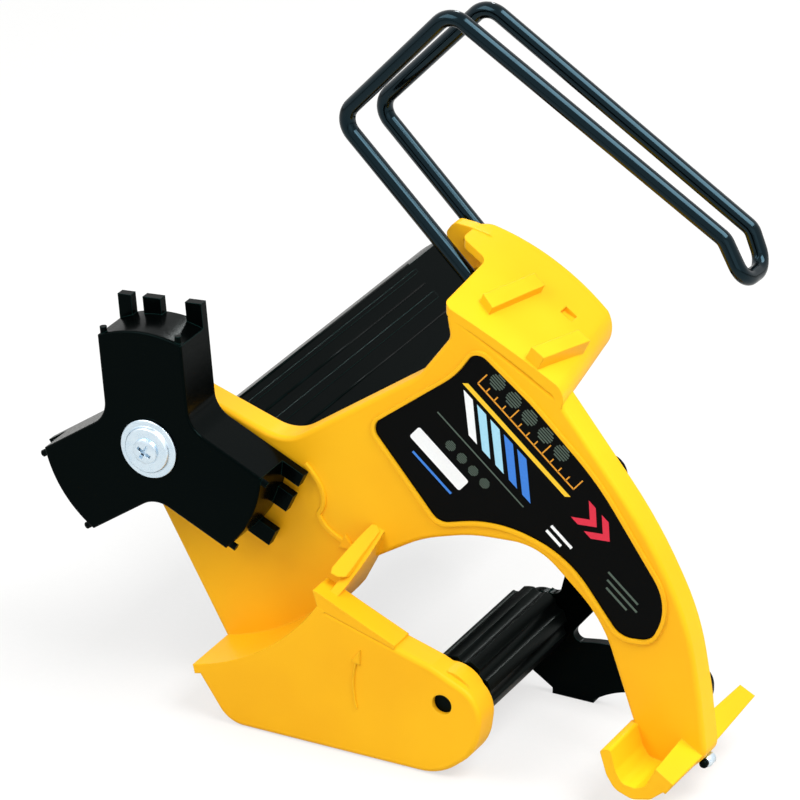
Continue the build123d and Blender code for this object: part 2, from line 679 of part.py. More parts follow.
# Paper mandrel: a long three-armed shell on a short spindle
with BuildPart() as paper_hub:
    paper_length = paper_hub_back - paper_hub_front
    tongue = paper_hub_angles[:1]
    rib_side = paper_arm_width / 2 - paper_hub_wall / 4 + paper_rib_high / 2
    with BuildSketch(at_y(paper_hub_front)):
        with Locations(paper_axis):
            add(hub_arms(paper_hub_angles, paper_arm_width, core_radius, paper_hub_fillet))
            add(hub_arms(paper_hub_angles, paper_arm_width - 2 * paper_hub_wall, core_radius - paper_hub_wall,
                         paper_hub_fillet + paper_hub_wall), mode=Mode.SUBTRACT)
        for angle in paper_hub_angles:
            with Locations(Location(paper_axis, angle)):
                for rib_inset, rib_width in paper_ribs:
                    rib_radius = core_radius - rib_inset
                    with Locations((rib_radius, rib_side), (rib_radius, -rib_side)):
                        Rectangle(rib_width, paper_rib_high + paper_hub_wall / 2)
    extrude(amount=-paper_length)
    # The first arm runs on past the others
    with BuildSketch(at_y(paper_hub_back)):
        with Locations(paper_axis):
            add(hub_arms(tongue, paper_arm_width, core_radius, paper_hub_fillet, paper_tongue_start))
            add(hub_arms(tongue, paper_arm_width - 2 * paper_hub_wall, core_radius - paper_hub_wall,
                         paper_hub_fillet - paper_hub_wall, paper_tongue_start + paper_hub_wall),
                mode=Mode.SUBTRACT)
    extrude(amount=-(paper_tongue_back - paper_hub_back))
    with BuildSketch(at_y(paper_hub_front)):
        with Locations(paper_axis):
            Circle(paper_root_radius)
    extrude(amount=-paper_root_wall)
    with BuildSketch(at_y(paper_hub_front)):
        with Locations(paper_axis):
            Circle(spindle_radius + run_gap + paper_tube_wall)
        for angle in paper_hub_angles:
            with Locations(Location(paper_axis, angle)):
                Rectangle(core_radius - paper_web_inset, paper_hub_wall, align=(Align.MIN, Align.CENTER))
    extrude(amount=-(spindle_back - side_gap - paper_hub_front))
    for angle in paper_hub_angles[1:]:
        with BuildSketch(at_y(paper_hub_back)):
            with Locations(Location(polar(paper_axis, core_radius - paper_hub_wall, angle), angle)):
                Rectangle(paper_hub_wall + paper_barb_high, paper_barb_width, align=(Align.MIN, Align.CENTER))
        extrude(amount=paper_barb_length)
    with BuildSketch(at_y(paper_hub_front)):
        with Locations(paper_axis):
            Circle(spindle_radius + run_gap)
    extrude(amount=-paper_length, mode=Mode.SUBTRACT)
write(paper_hub.part, "paper_hub")

with BuildPart() as paper_spindle:
    with BuildSketch(at_y(socket_front)):
        with Locations(paper_axis):
            Circle(spindle_radius)
            Circle(paper_screw_radius + run_gap, mode=Mode.SUBTRACT)
    extrude(amount=-(spindle_back - socket_front))
write(paper_spindle.part, "paper_spindle")

with BuildPart() as paper_hub_washer:
    add(turned(paper_axis, [
        (paper_screw_radius + run_gap, spindle_back), (paper_washer_radius, spindle_back),
        (paper_washer_radius, spindle_back + paper_washer_wall),
        (paper_screw_radius + run_gap, spindle_back + paper_washer_wall),
    ]))
write(paper_hub_washer.part, "paper_hub_washer")

with BuildPart() as paper_hub_screw:
    seat = spindle_back + paper_washer_wall
    add(turned(paper_axis, [
        (0, skin), (paper_screw_radius, skin), (paper_screw_radius, seat), (paper_screw_head_radius, seat),
        (paper_screw_head_radius, seat + paper_screw_head * 0.5),
        (paper_screw_head_radius * 0.7, seat + paper_screw_head * 0.9),
        (0, seat + paper_screw_head),
    ]))
write(paper_hub_screw.part, "paper_hub_screw")

with BuildPart() as paper_insert:
    add(turned(paper_axis, [
        (paper_screw_radius, insert_floor), (insert_radius, insert_floor),
        (insert_radius, socket_front), (paper_screw_radius, socket_front),
    ]))
write(paper_insert.part, "paper_insert")

# Roll bail: one bent wire, both ends turned inwards to the pivot
with BuildPart() as roll_bail:
    with BuildLine() as bail_path:
        bail_points = [(bail_pivot[0], ear_front + bail_pin_depth, bail_pivot[1])]
        bail_points += bail_front + bail_back[::-1]
        bail_points += [(bail_pivot[0], ear_back - bail_pin_depth, bail_pivot[1])]
        FilletPolyline(*bail_points, radius=bail_bends + bail_bends[::-1])
    with BuildSketch(Plane(origin=bail_path.line @ 0, z_dir=bail_path.line % 0)):
        Circle(wire_radius)
    sweep()
write(roll_bail.part, "roll_bail")

with BuildPart() as bail_bushes:
    for near, far in ((ear_front, ear_front + bail_pin_depth), (ear_back, ear_back - bail_pin_depth)):
        with BuildSketch(at_y(near)):
            with Locations(bail_pivot):
                Circle(bush_radius)
                Circle(wire_radius + run_gap, mode=Mode.SUBTRACT)
        extrude(amount=-(far - near))
write(bail_bushes.part, "bail_bushes")

# Applicator roller between lobe and rear bracket
with BuildPart() as applicator_roller:
    roller_length = roller_back - roller_front
    with BuildSketch(at_y(roller_front)):
        with Locations(roller_axis):
            Circle(roller_radius)
            Circle(roller_radius - roller_wall, mode=Mode.SUBTRACT)
            Circle(roller_bore_radius + roller_wall)
            with PolarLocations(0, 4):
                Rectangle(roller_radius - roller_wall / 2, roller_wall, align=(Align.MIN, Align.CENTER))
            with PolarLocations(roller_radius + roller_flute_radius - roller_flute_depth, roller_flutes):
                Circle(roller_flute_radius, mode=Mode.SUBTRACT)
    extrude(amount=-roller_length)
    for end in (roller_front, roller_back - roller_wall):
        with BuildSketch(at_y(end)):
            with Locations(roller_axis):
                Circle(roller_radius - roller_flute_depth)
        extrude(amount=-roller_wall)
    with BuildSketch(at_y(roller_journal_front)):
        with Locations(roller_axis):
            Circle(lobe_bore_radius - run_gap)
    extrude(amount=-(roller_journal_back - roller_journal_front))
    with BuildSketch(at_y(roller_clip_front)):
        with Locations(roller_axis):
            Circle(lobe_bore_radius)
            Circle(roller_groove_radius, mode=Mode.SUBTRACT)
    extrude(amount=-roller_clip_wall, mode=Mode.SUBTRACT)
write(applicator_roller.part, "applicator_roller")

with BuildPart() as roller_clip:
    with BuildSketch(at_y(roller_clip_front)):
        with Locations(roller_axis):
            Circle(roller_clip_radius)
            Circle(roller_groove_radius + run_gap, mode=Mode.SUBTRACT)
            Rectangle(roller_clip_radius * 2, roller_groove_radius * 1.6, align=(Align.MIN, Align.CENTER),
                      mode=Mode.SUBTRACT)
    extrude(amount=-roller_clip_wall)
write(roller_clip.part, "roller_clip")

# Bracket that carries the roller's rear journal and the rear foot
with BuildPart() as rear_bracket:
    with BuildSketch(at_y(bracket_front)):
        with BuildLine():
            rounded_loop(bracket_corners)
        make_face()
    extrude(amount=-bracket_wall)
    with BuildSketch(Plane.XY.offset(bench)):
        with Locations((bracket_foot_x, bracket_front)):
            Rectangle(bracket_foot_width, bracket_foot_back - bracket_front, align=(Align.CENTER, Align.MIN))
    extrude(amount=bracket_foot_wall)
    with BuildSketch(at_y(bracket_front)):
        with Locations(roller_axis):
            Circle(bracket_boss_radius)
    extrude(amount=-(bracket_boss_back - bracket_front))
    with BuildSketch(at_y(bracket_front)):
        with Locations(roller_axis):
            Circle(lobe_bore_radius)
        with Locations(post_upper, post_lower):
            Circle(bracket_screw_radius + seat_gap)
    extrude(amount=-(bracket_boss_back - bracket_front), mode=Mode.SUBTRACT)
write(rear_bracket.part, "rear_bracket")

with BuildPart() as bracket_washers:
    for place in (post_upper, post_lower):
        add(turned(place, [
            (bracket_screw_radius + seat_gap, bracket_back), (bracket_washer_radius, bracket_back),
            (bracket_washer_radius, bracket_back + bracket_washer_wall),
            (bracket_screw_radius + seat_gap, bracket_back + bracket_washer_wall),
        ]))
write(bracket_washers.part, "bracket_washers")

with BuildPart() as bracket_screws:
    seat = bracket_back + bracket_washer_wall
    point = seat - bracket_screw_length
    for place in (post_upper, post_lower):
        add(turned(place, [
            (0, point), (bracket_screw_radius, point + bracket_screw_tip),
            (bracket_screw_radius, seat), (bracket_screw_head_radius, seat),
            (bracket_screw_head_radius, seat + bracket_screw_head * 0.5),
            (bracket_screw_head_radius * 0.7, seat + bracket_screw_head * 0.9),
            (0, seat + bracket_screw_head),
        ]))
write(bracket_screws.part, "bracket_screws")

# Foot screw, pressed in as a pin, and its soft tip
with BuildPart() as foot_screw:
    neck_back = foot_pin_front + foot_bumper_wall
    add(turned(foot_pin_axis, [
        (0, foot_pin_front), (foot_pin_neck, foot_pin_front), (foot_pin_neck, neck_back),
        (foot_pin_radius, neck_back), (foot_pin_radius, foot_pin_back), (0, foot_pin_back),
    ]))
write(foot_screw.part, "foot_screw")

with BuildPart() as foot_bumper:
    add(turned(foot_pin_axis, [
        (0, foot_bumper_front), (foot_pin_radius * 0.6, foot_bumper_front),
        (foot_pin_radius, foot_bumper_front + foot_bumper_wall), (foot_pin_radius, neck_back),
        (foot_pin_neck, neck_back), (foot_pin_neck, foot_pin_front), (0, foot_pin_front),
    ]))
write(foot_bumper.part, "foot_bumper")
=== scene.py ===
# %% [markdown]
# # Masking paper dispenser
# A painter's hand tool lays a strip of tape along the edge of a sheet of masking paper. One yellow
# moulding is the frame: a plate with a handle on the right, a rounded lobe at the bottom and a
# small shelf on top. A black three-armed hub in front holds the tape, a long black mandrel behind
# holds the paper, and a bent steel wire stands over them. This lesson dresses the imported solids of
# that tool.

# %% Load the frame
import json
from math import cos, hypot, pi, radians, sin

import bmesh
import bpy
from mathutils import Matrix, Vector

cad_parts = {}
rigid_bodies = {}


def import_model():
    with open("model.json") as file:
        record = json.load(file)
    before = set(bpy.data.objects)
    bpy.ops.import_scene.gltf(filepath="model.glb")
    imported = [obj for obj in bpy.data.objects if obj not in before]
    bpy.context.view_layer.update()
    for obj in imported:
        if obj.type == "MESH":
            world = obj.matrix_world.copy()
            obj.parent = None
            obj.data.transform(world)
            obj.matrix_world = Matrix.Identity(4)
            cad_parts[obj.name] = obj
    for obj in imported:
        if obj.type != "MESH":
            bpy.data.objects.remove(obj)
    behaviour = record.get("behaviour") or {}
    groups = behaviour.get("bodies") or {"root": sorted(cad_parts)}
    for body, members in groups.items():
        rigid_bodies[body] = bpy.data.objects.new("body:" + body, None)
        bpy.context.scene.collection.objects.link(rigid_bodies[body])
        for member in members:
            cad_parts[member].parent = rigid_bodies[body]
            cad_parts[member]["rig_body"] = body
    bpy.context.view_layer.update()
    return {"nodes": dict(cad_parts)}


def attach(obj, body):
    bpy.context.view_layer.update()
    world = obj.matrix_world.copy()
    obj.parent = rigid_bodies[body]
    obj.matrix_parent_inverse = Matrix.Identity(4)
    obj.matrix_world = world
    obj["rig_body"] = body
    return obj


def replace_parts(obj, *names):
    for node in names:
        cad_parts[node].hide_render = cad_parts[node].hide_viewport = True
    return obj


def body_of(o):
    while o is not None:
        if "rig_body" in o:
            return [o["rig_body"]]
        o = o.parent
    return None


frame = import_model()
nodes = frame["nodes"]
MM = 0.001
scene = bpy.context.scene
scene.view_settings.view_transform = "Standard"

# %% [markdown]
# ## Two helpers
# Every colour here is a hex value as a painter would pick it on a screen. Shaders work in linear
# light, so one function converts it. Every material is a graph of nodes, and one small function
# adds a node, sets its values and wires it up, so that a graph reads as a list.


# %% Colour and node helpers
def shade(code):
    """Linear RGBA of an sRGB hex colour."""
    parts = [int(code[i:i + 2], 16) / 255 for i in (1, 3, 5)]
    linear = [c / 12.92 if c <= 0.04045 else ((c + 0.055) / 1.055) ** 2.4 for c in parts]
    return (*linear, 1.0)


def add_node(tree, kind, values=None, links=None, **settings):
    """Adds a node with its settings, its input values and the sockets that feed it."""
    made = tree.nodes.new(kind)
    for key, value in settings.items():
        setattr(made, key, value)
    for key, value in (values or {}).items():
        made.inputs[key].default_value = value
    for key, source in (links or {}).items():
        tree.links.new(source, made.inputs[key])
    return made


print("middle grey in linear light", round(shade("#808080")[0], 3))

# %% [markdown]
# ## Moulded plastic
# The frame is ABS, an opaque plastic shot into a steel mould. It has no grain: the eye reads a soft
# sheen, a very fine orange peel from the mould's texture, faint flow shading and lighter edges, whose
# paler colour is painted on, partly as rubbing and partly as a painted highlight. That texture is too
# fine for the picture, so a noise of half a millimetre stands for it, and a slow noise shifts the
# colour a little. The bevel node's rounded normal differs from the true one only near an edge, so
# their dot product is a mask for the painted edge colour that holds from every side.


# %% A bare material
def new_material(name):
    """A material with only its output and a Principled shader, and the tree they stand in."""
    made = bpy.data.materials.new(name)
    made.use_nodes = True
    tree = made.node_tree
    tree.nodes.clear()
    shader = add_node(tree, "ShaderNodeBsdfPrincipled")
    add_node(tree, "ShaderNodeOutputMaterial", links={"Surface": shader.outputs["BSDF"]})
    return made, tree, shader


# %% Rounded edges, painted lighter as wear and as a highlight
EDGE_RAYS = 4           # rays with which a bevel node feels for an edge
# the dot product where a face counts as flat and as all edge, and the share there of the edge colour
# that paints wear and a highlight
EDGE_WEAR_AND_HIGHLIGHT = {"From Min": 0.985, "From Max": 0.80, "To Max": 0.55}


def edge_wear_and_highlight(tree, round_mm):
    """Normal that turns softly round an edge, and how much of the edge colour is painted on, for wear
    and as a highlight.
    """
    edge = add_node(tree, "ShaderNodeBevel", {"Radius": round_mm * MM}, samples=EDGE_RAYS)
    true_normal = add_node(tree, "ShaderNodeNewGeometry").outputs["Normal"]
    meet = add_node(tree, "ShaderNodeVectorMath", links={0: edge.outputs["Normal"], 1: true_normal},
                    operation="DOT_PRODUCT")
    wear_and_highlight = add_node(tree, "ShaderNodeMapRange", EDGE_WEAR_AND_HIGHLIGHT, {"Value": meet.outputs["Value"]})
    return edge.outputs["Normal"], wear_and_highlight.outputs["Result"]


# %% Plastic from a textured mould
MIX_FACTOR, MIX_A, MIX_B, MIXED = 0, 6, 7, 2        # a Mix node's sockets when it mixes colours
FLOW_MM = 45.0          # the melt's flow shifts the colour slowly over this distance


def moulded(name, light, dark, rubbed_and_highlight, rough, peel_mm, peel_deep, round_mm, ior=1.53,
            specular=0.5, tint="#FFFFFF"):
    """Slow colour drift, fine peel, and edges painted lighter, partly as rubbing and partly as a
    highlight, and softened.
    """
    made, tree, shader = new_material(name)
    spot = add_node(tree, "ShaderNodeTexCoord").outputs["Object"]
    drift = add_node(tree, "ShaderNodeTexNoise", {"Scale": 1 / (FLOW_MM * MM), "Detail": 2.0},
                     {"Vector": spot})
    spread = add_node(tree, "ShaderNodeMapRange", {"From Min": 0.35, "From Max": 0.65},
                      {"Value": drift.outputs["Fac"]})
    colour = add_node(tree, "ShaderNodeMix", {MIX_A: shade(dark), MIX_B: shade(light)},
                      {MIX_FACTOR: spread.outputs["Result"]}, data_type="RGBA")
    edge_normal, wear_and_highlight = edge_wear_and_highlight(tree, round_mm)
    # the edge colour goes over the plastic's own: painted wear and a painted highlight
    worn_and_highlight_colour = add_node(tree, "ShaderNodeMix", {MIX_B: shade(rubbed_and_highlight)},
                    {MIX_FACTOR: wear_and_highlight, MIX_A: colour.outputs[MIXED]}, data_type="RGBA")
    tree.links.new(worn_and_highlight_colour.outputs[MIXED], shader.inputs["Base Color"])
    peel = add_node(tree, "ShaderNodeTexNoise", {"Scale": 1 / (peel_mm * MM), "Detail": 3.0},
                    {"Vector": spot})
    sheen = add_node(tree, "ShaderNodeMapRange", {
        "From Min": 0.3, "From Max": 0.7, "To Min": rough - 0.05, "To Max": rough + 0.06,
    }, {"Value": peel.outputs["Fac"]})
    tree.links.new(sheen.outputs["Result"], shader.inputs["Roughness"])
    bump = add_node(tree, "ShaderNodeBump", {"Strength": 0.25, "Distance": peel_deep * MM},
                    {"Height": peel.outputs["Fac"], "Normal": edge_normal})
    tree.links.new(bump.outputs["Normal"], shader.inputs["Normal"])
    shader.inputs["IOR"].default_value = ior
    shader.inputs["Specular IOR Level"].default_value = specular
    shader.inputs["Specular Tint"].default_value = shade(tint)
    return made


# %% The tool's plastics and its rubber
# ABS: a warm, even yellow under a broad and weak sheen, with paler edges painted on, partly where
# hands rub it and partly as a highlight
yellow_abs = moulded("Moulded ABS yellow", "#F6B918", "#F1B016", "#F8CC2C", rough=0.44,
                     peel_mm=0.5, peel_deep=0.05, round_mm=0.6, specular=0.1)
# Nylon: deep black and smooth, with a thin cold highlight painted along its edges
black_nylon = moulded("Moulded nylon black", "#020303", "#010202", "#1A3F3C", rough=0.2,
                      peel_mm=0.6, peel_deep=0.06, round_mm=0.35, specular=0.04, tint="#9FE0DC")
# Rubber: black with a duller, wider highlight than the nylon's, and a dim green highlight painted on
# its edges
roller_rubber = moulded("Moulded rubber black", "#040505", "#020303", "#10201B", rough=0.32,
                        peel_mm=0.4, peel_deep=0.05, round_mm=0.35, ior=1.52, specular=0.05,
                        tint="#9FE0CC")
# Acetal: milky white and slightly waxy, on the sleeves and bushes inside
white_acetal = moulded("Moulded acetal white", "#E4E2DA", "#DAD8D0", "#EDEBE4", rough=0.4,
                       peel_mm=0.5, peel_deep=0.03, round_mm=0.3, ior=1.48)
# Vinyl film: flat black that hardly shines, so that the print on it stays clear
label_film = moulded("Printed vinyl film black", "#030404", "#020303", "#0A0C0C", rough=0.36,
                     peel_mm=0.3, peel_deep=0.01, round_mm=0.2, ior=1.46, specular=0.05)
print([made.name for made in (yellow_abs, black_nylon, roller_rubber, white_acetal, label_film)])

# %% [markdown]
# ## Metal and enamel
# Screws and washer are steel with a thin zinc coat, bluish white and slightly cloudy. The crystals
# of that coat are far too fine to see from here, so the clouds are drawn some millimetres wide.
# Bright spring steel and turned brass sit inside. The wire over the tool is steel under black stove
# enamel: deep black and smooth, with long pale blue highlights, so it is a dark dielectric with a
# tinted gloss, and its peel is the slow wave of paint that has run and levelled.


# %% Plated or bare metal
def metal(name, light, dark, rough, cloud_mm):
    """Cloudy colour and sheen with a slight relief, and edges softened by handling."""
    made, tree, shader = new_material(name)
    spot = add_node(tree, "ShaderNodeTexCoord").outputs["Object"]
    cloud = add_node(tree, "ShaderNodeTexNoise", {"Scale": 1 / (cloud_mm * MM), "Detail": 4.0},
                     {"Vector": spot})
    colour = add_node(tree, "ShaderNodeMix", {MIX_A: shade(dark), MIX_B: shade(light)},
                      {MIX_FACTOR: cloud.outputs["Fac"]}, data_type="RGBA")
    tree.links.new(colour.outputs[MIXED], shader.inputs["Base Color"])
    gloss = add_node(tree, "ShaderNodeMapRange", {
        "From Min": 0.3, "From Max": 0.7, "To Min": rough - 0.06, "To Max": rough + 0.08,
    }, {"Value": cloud.outputs["Fac"]})
    tree.links.new(gloss.outputs["Result"], shader.inputs["Roughness"])
    edge = add_node(tree, "ShaderNodeBevel", {"Radius": 0.15 * MM}, samples=EDGE_RAYS)
    bump = add_node(tree, "ShaderNodeBump", {"Strength": 0.2, "Distance": 0.01 * MM},
                    {"Height": cloud.outputs["Fac"], "Normal": edge.outputs["Normal"]})
    tree.links.new(bump.outputs["Normal"], shader.inputs["Normal"])
    shader.inputs["Metallic"].default_value = 1.0
    return made


zinc_plate = metal("Zinc plated steel", "#E8F3FA", "#C3DAEC", rough=0.28, cloud_mm=3.5)
spring_steel = metal("Bright spring steel", "#C4C6C8", "#9FA3A6", rough=0.28, cloud_mm=1.0)
turned_brass = metal("Turned brass", "#D9B36A", "#B98E46", rough=0.3, cloud_mm=0.8)
enamel_wire = moulded("Stove enamel black", "#020303", "#010202", "#0A1214", rough=0.12,
                      peel_mm=2.4, peel_deep=0.002, round_mm=0.02, ior=1.5, specular=0.38,
                      tint="#9AD2EC")
print([made.name for made in (zinc_plate, spring_steel, turned_brass, enamel_wire)])

# %% [markdown]
# ## A finish for every solid
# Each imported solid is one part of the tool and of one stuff, so it takes a single material. Most of
# the small hardware is zinc plated, and a name that the table leaves out gets that finish.

# %% Give every solid its finish
finishes = {
    "frame": yellow_abs, "label_panel": label_film, "tape_hub": black_nylon,
    "paper_hub": black_nylon, "rear_bracket": black_nylon, "applicator_roller": roller_rubber,
    "roll_bail": enamel_wire, "tape_spindle": white_acetal, "paper_spindle": white_acetal,
    "bail_bushes": white_acetal, "tape_insert": turned_brass, "paper_insert": turned_brass,
    "tape_hub_spring": spring_steel, "roller_clip": spring_steel, "foot_bumper": roller_rubber,
}
for name, solid in nodes.items():
    solid.data.materials.clear()
    solid.data.materials.append(finishes.get(name, zinc_plate))
print("zinc plated", sorted(set(nodes) - set(finishes)))

# %% [markdown]
# ## Smooth shading of the solids
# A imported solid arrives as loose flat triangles, so a round hub would show its facets. A live
# Geometry Nodes modifier welds the corners, shades all faces smooth and keeps every edge sharp that
# turns by more than a set angle. Weighted normals then keep large flat faces flat.


# %% A tree that welds and smooths
def geometry_tree(name, inputs):
    """A Geometry Nodes tree with named inputs, and the sockets that hand their values on."""
    tree = bpy.data.node_groups.new(name, "GeometryNodeTree")
    for label, kind, value in [("Geometry", "NodeSocketGeometry", None)] + inputs:
        socket = tree.interface.new_socket(name=label, in_out="INPUT", socket_type=kind)
        if value is not None:
            socket.default_value = value
    tree.interface.new_socket(name="Geometry", in_out="OUTPUT", socket_type="NodeSocketGeometry")
    return tree, add_node(tree, "NodeGroupInput").outputs


soften, given = geometry_tree("weld and smooth", [
    ("Weld distance", "NodeSocketFloat", 0.002 * MM),
    ("Sharp angle", "NodeSocketFloat", radians(33)),
])
welded = add_node(soften, "GeometryNodeMergeByDistance",
                  links={"Geometry": given["Geometry"], "Distance": given["Weld distance"]})
smooth = add_node(soften, "GeometryNodeSetShadeSmooth", {"Shade Smooth": True},
                  {0: welded.outputs[0]}, domain="FACE")
edge_turn = add_node(soften, "GeometryNodeInputMeshEdgeAngle")
sharp = add_node(soften, "FunctionNodeCompare",
                 links={0: edge_turn.outputs["Unsigned Angle"], 1: given["Sharp angle"]},
                 data_type="FLOAT", operation="GREATER_THAN")
creased = add_node(soften, "GeometryNodeSetShadeSmooth", {"Shade Smooth": False},
                   {0: smooth.outputs[0], "Selection": sharp.outputs["Result"]}, domain="EDGE")
add_node(soften, "NodeGroupOutput", links={0: creased.outputs[0]})
print(soften.name, "has", len(soften.nodes), "nodes")


# %% Smooth every solid
def soft_edges(piece):
    """Adds the live modifier that welds and smooths."""
    piece.modifiers.new("weld and smooth", "NODES").node_group = soften
    return piece


for solid in nodes.values():
    even = soft_edges(solid).modifiers.new("flat faces stay flat", "WEIGHTED_NORMAL")
    even.keep_sharp = True
print("smoothed", len(nodes))

# %% [markdown]
# ## Pieces of the scene's own
# Small forms that the solids leave out are meshes made here from lists of points. Their points are
# measured like the tool's drawing, in millimetres: x to the right, depth away from the viewer and z
# up. A piece has to be closed with its faces outwards, and it rides on the body that carries it.

# %% Pieces from points
DATUM_HIGH = 2.6        # the drawing's heights start from a line this far over the bench


def place(x, depth, z):
    """Point in metres from the drawing's millimetres."""
    return Vector((x, depth, z + DATUM_HIGH)) * MM


def add_object(name, data):
    """Puts a mesh, a lamp or a camera into the scene, at the origin."""
    made = bpy.data.objects.new(name, data)
    scene.collection.objects.link(made)
    return made


def closed_mesh(name, vertices, faces):
    """Mesh with its doubled corners merged and its faces turned outwards."""
    mesh = bpy.data.meshes.new(name)
    mesh.from_pydata([tuple(v) for v in vertices], [], faces)
    work = bmesh.new()
    work.from_mesh(mesh)
    bmesh.ops.remove_doubles(work, verts=work.verts, dist=1e-7)
    bmesh.ops.recalc_face_normals(work, faces=work.faces)
    work.to_mesh(mesh)
    work.free()
    return mesh


def make_piece(name, vertices, faces, finish, body="frame", slot="yellow_abs", smooth=False):
    """Closed piece of one finish that rides on a body."""
    mesh = closed_mesh(name, vertices, faces)
    for face in mesh.polygons:
        face.use_smooth = smooth
    mesh.materials.append(finish)
    piece = add_object(name, mesh)
    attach(piece, body)
    return piece


print("drawing's zero line over the bench", DATUM_HIGH, "mm")

# %% [markdown]
# ## Relief on the moulding
# The mould has two arrows cut into it, which stand out of the plate as low ridges: one shows the
# tape's way past the finger, the other how the applicator turns. A ridge is a ribbon with a
# trapezoid section, swept along a line of stations, each with its own half width, and an arrow
# head is just a station that is suddenly wide.

# %% Ridges
SAME_SPOT = 1e-6        # stations closer than this stand on one spot and share its direction
SUNK = 0.1              # a ridge's foot lies this deep in the face
NARROWEST = 0.02        # half width of a ridge's top where it runs out


def bow(start, middle, end, count):
    """Points along a curve from start to end that is pulled towards a middle point."""
    points = []
    for i in range(count + 1):
        t = i / count
        points.append(tuple((1 - t) ** 2 * a + 2 * t * (1 - t) * b + t * t * c
                            for a, b, c in zip(start, middle, end)))
    return points


def ridge(name, stations, base, high, draft=0.25):
    """Raised ribbon on a face that looks to the front. Each station is x, z and half width."""
    last = len(stations) - 1

    def apart(i, k):
        """Whether two stations stand on different spots."""
        return hypot(stations[k][0] - stations[i][0], stations[k][1] - stations[i][1]) > SAME_SPOT

    vertices = []
    for i, (x, z, half) in enumerate(stations):
        before = stations[max(k for k in range(i + 1) if k == 0 or apart(i, k))]
        after = stations[min(k for k in range(i, last + 1) if k == last or apart(i, k))]
        run = Vector((after[0] - before[0], after[1] - before[1])).normalized()
        side = Vector((-run.y, run.x))
        top = max(half - draft, NARROWEST)
        for reach, depth in ((half, base + SUNK), (top, base - high),
                             (-top, base - high), (-half, base + SUNK)):
            vertices.append(place(x + side.x * reach, depth, z + side.y * reach))
    faces = [(0, 1, 2, 3), tuple(4 * last + k for k in range(4))]
    faces += [(4 * i + k, 4 * i + (k + 1) % 4, 4 * i + 4 + (k + 1) % 4, 4 * i + 4 + k)
              for i in range(last) for k in range(4)]
    return make_piece(name, vertices, faces, yellow_abs)


# %% Arrow of the tape's way
PLATE_FRONT = 0.0
POINT_HALF = 0.05       # half width of an arrow's very point
line = bow((-46.6, 79.6), (-37.0, 71.0), (-42.0, 64.0), 9)[:-1]
line += bow((-42.0, 64.0), (-41.0, 59.5), (-34.0, 56.6), 8)
TAPE_LINE_HALF, TAPE_HEAD_HALF = 0.9, 2.8
tape_arrow = ridge("tape_path_arrow", [(x, z, TAPE_LINE_HALF) for x, z in line] + [
    (*line[-1], TAPE_HEAD_HALF), (-29.6, 54.4, POINT_HALF)], base=PLATE_FRONT, high=0.7)
print("tape arrow", len(line), "stations,", len(tape_arrow.data.polygons), "faces")

# %% Arrow of the applicator's turn
LOBE_AXIS = (11.0, 22.0)
LOBE_FRONT = -22.0
TURN_RADIUS = 29.8
TURN_LINE_HALF, TURN_HEAD_HALF = 0.45, 1.6
line = [(LOBE_AXIS[0] + TURN_RADIUS * cos(radians(a)), LOBE_AXIS[1] + TURN_RADIUS * sin(radians(a)))
        for a in range(196, 165, -3)]
turn_arrow = ridge("roller_turn_arrow", [(x, z, TURN_LINE_HALF) for x, z in line] + [
    (*line[-1], TURN_HEAD_HALF), (-16.4, 33.8, POINT_HALF)], base=LOBE_FRONT, high=0.5, draft=0.2)
print("turn arrow", len(line), "stations,", len(turn_arrow.data.polygons), "faces")

# %% [markdown]
# ## Guide tongue and lobe crest
# Along the slanting front of the guide finger lies a broader tongue that steadies the tape, and the
# lobe's upper edge rises to a low crest where it meets it. Both are slabs: an outline of corner
# points, pushed back along the depth and closed. The tongue's outline is drawn along the finger, as
# a share of its length and a distance across it.


# %% Slabs
def prism(near, far):
    """Vertices and faces of a closed solid between two outlines with equally many corners."""
    count = len(near)
    faces = [tuple(range(count)), tuple(range(count, 2 * count))]
    faces += [(i, (i + 1) % count, count + (i + 1) % count, count + i) for i in range(count)]
    return near + far, faces


def slab(name, corners, push):
    """Slab of the moulding from an outline of points in space and the push in millimetres."""
    return make_piece(name, *prism(corners, [c + Vector(push) * MM for c in corners]), yellow_abs)


# %% Lobe crest
CREST_FRONT = LOBE_FRONT + 0.1      # just behind the lobe's face, so that the two don't flicker
CREST_DEEP = 9.3
crest_outline = [(-30.9, 44.2), (-31.9, 47.6), (-32.7, 50.0), (-31.6, 49.8), (-18.6, 43.9),
                 (-5.0, 37.9), (-5.0, 36.6)]
crest = slab("lobe_crest", [place(x, CREST_FRONT, z) for x, z in crest_outline],
             (0, CREST_DEEP, 0))
print("crest", len(crest.data.polygons), "faces")

# %% Guide tongue
TONGUE_FOOT = place(-32.9, -21.6, 50.0)
TONGUE_TIP = place(-22.9, -0.6, 64.4)
ACROSS = Vector((0.9, 0.0, -0.43)).normalized()
TONGUE_PUSH = (0.5, 2.0, -0.6)
tongue_outline = [      # share of the way from foot to tip, and millimetres across it
    (1.00, -0.9), (1.02, 0.4), (0.98, 2.4), (0.80, 3.0), (0.62, 3.6), (0.44, 4.3), (0.33, 4.6),
    (0.28, 2.8), (0.27, 0.6), (0.33, -0.4), (0.55, -0.8), (0.80, -1.0),
]
tongue = slab("guide_tongue", [
    TONGUE_FOOT.lerp(TONGUE_TIP, share) + ACROSS * across * MM for share, across in tongue_outline
], TONGUE_PUSH)
print("tongue", len(tongue.data.polygons), "faces, foot to tip",
      round((TONGUE_TIP - TONGUE_FOOT).length / MM, 1), "mm")

# %% [markdown]
# ## Turned and pressed parts
# A short pin with a black tip shows at the lower end of the handle and lies along the depth. Like
# the hub's washer and screw it is round, so each is a profile of radius and depth that goes once
# round an axis. A profile that ends where it began makes a ring. Each takes the place of the
# plainer solid of the same part.


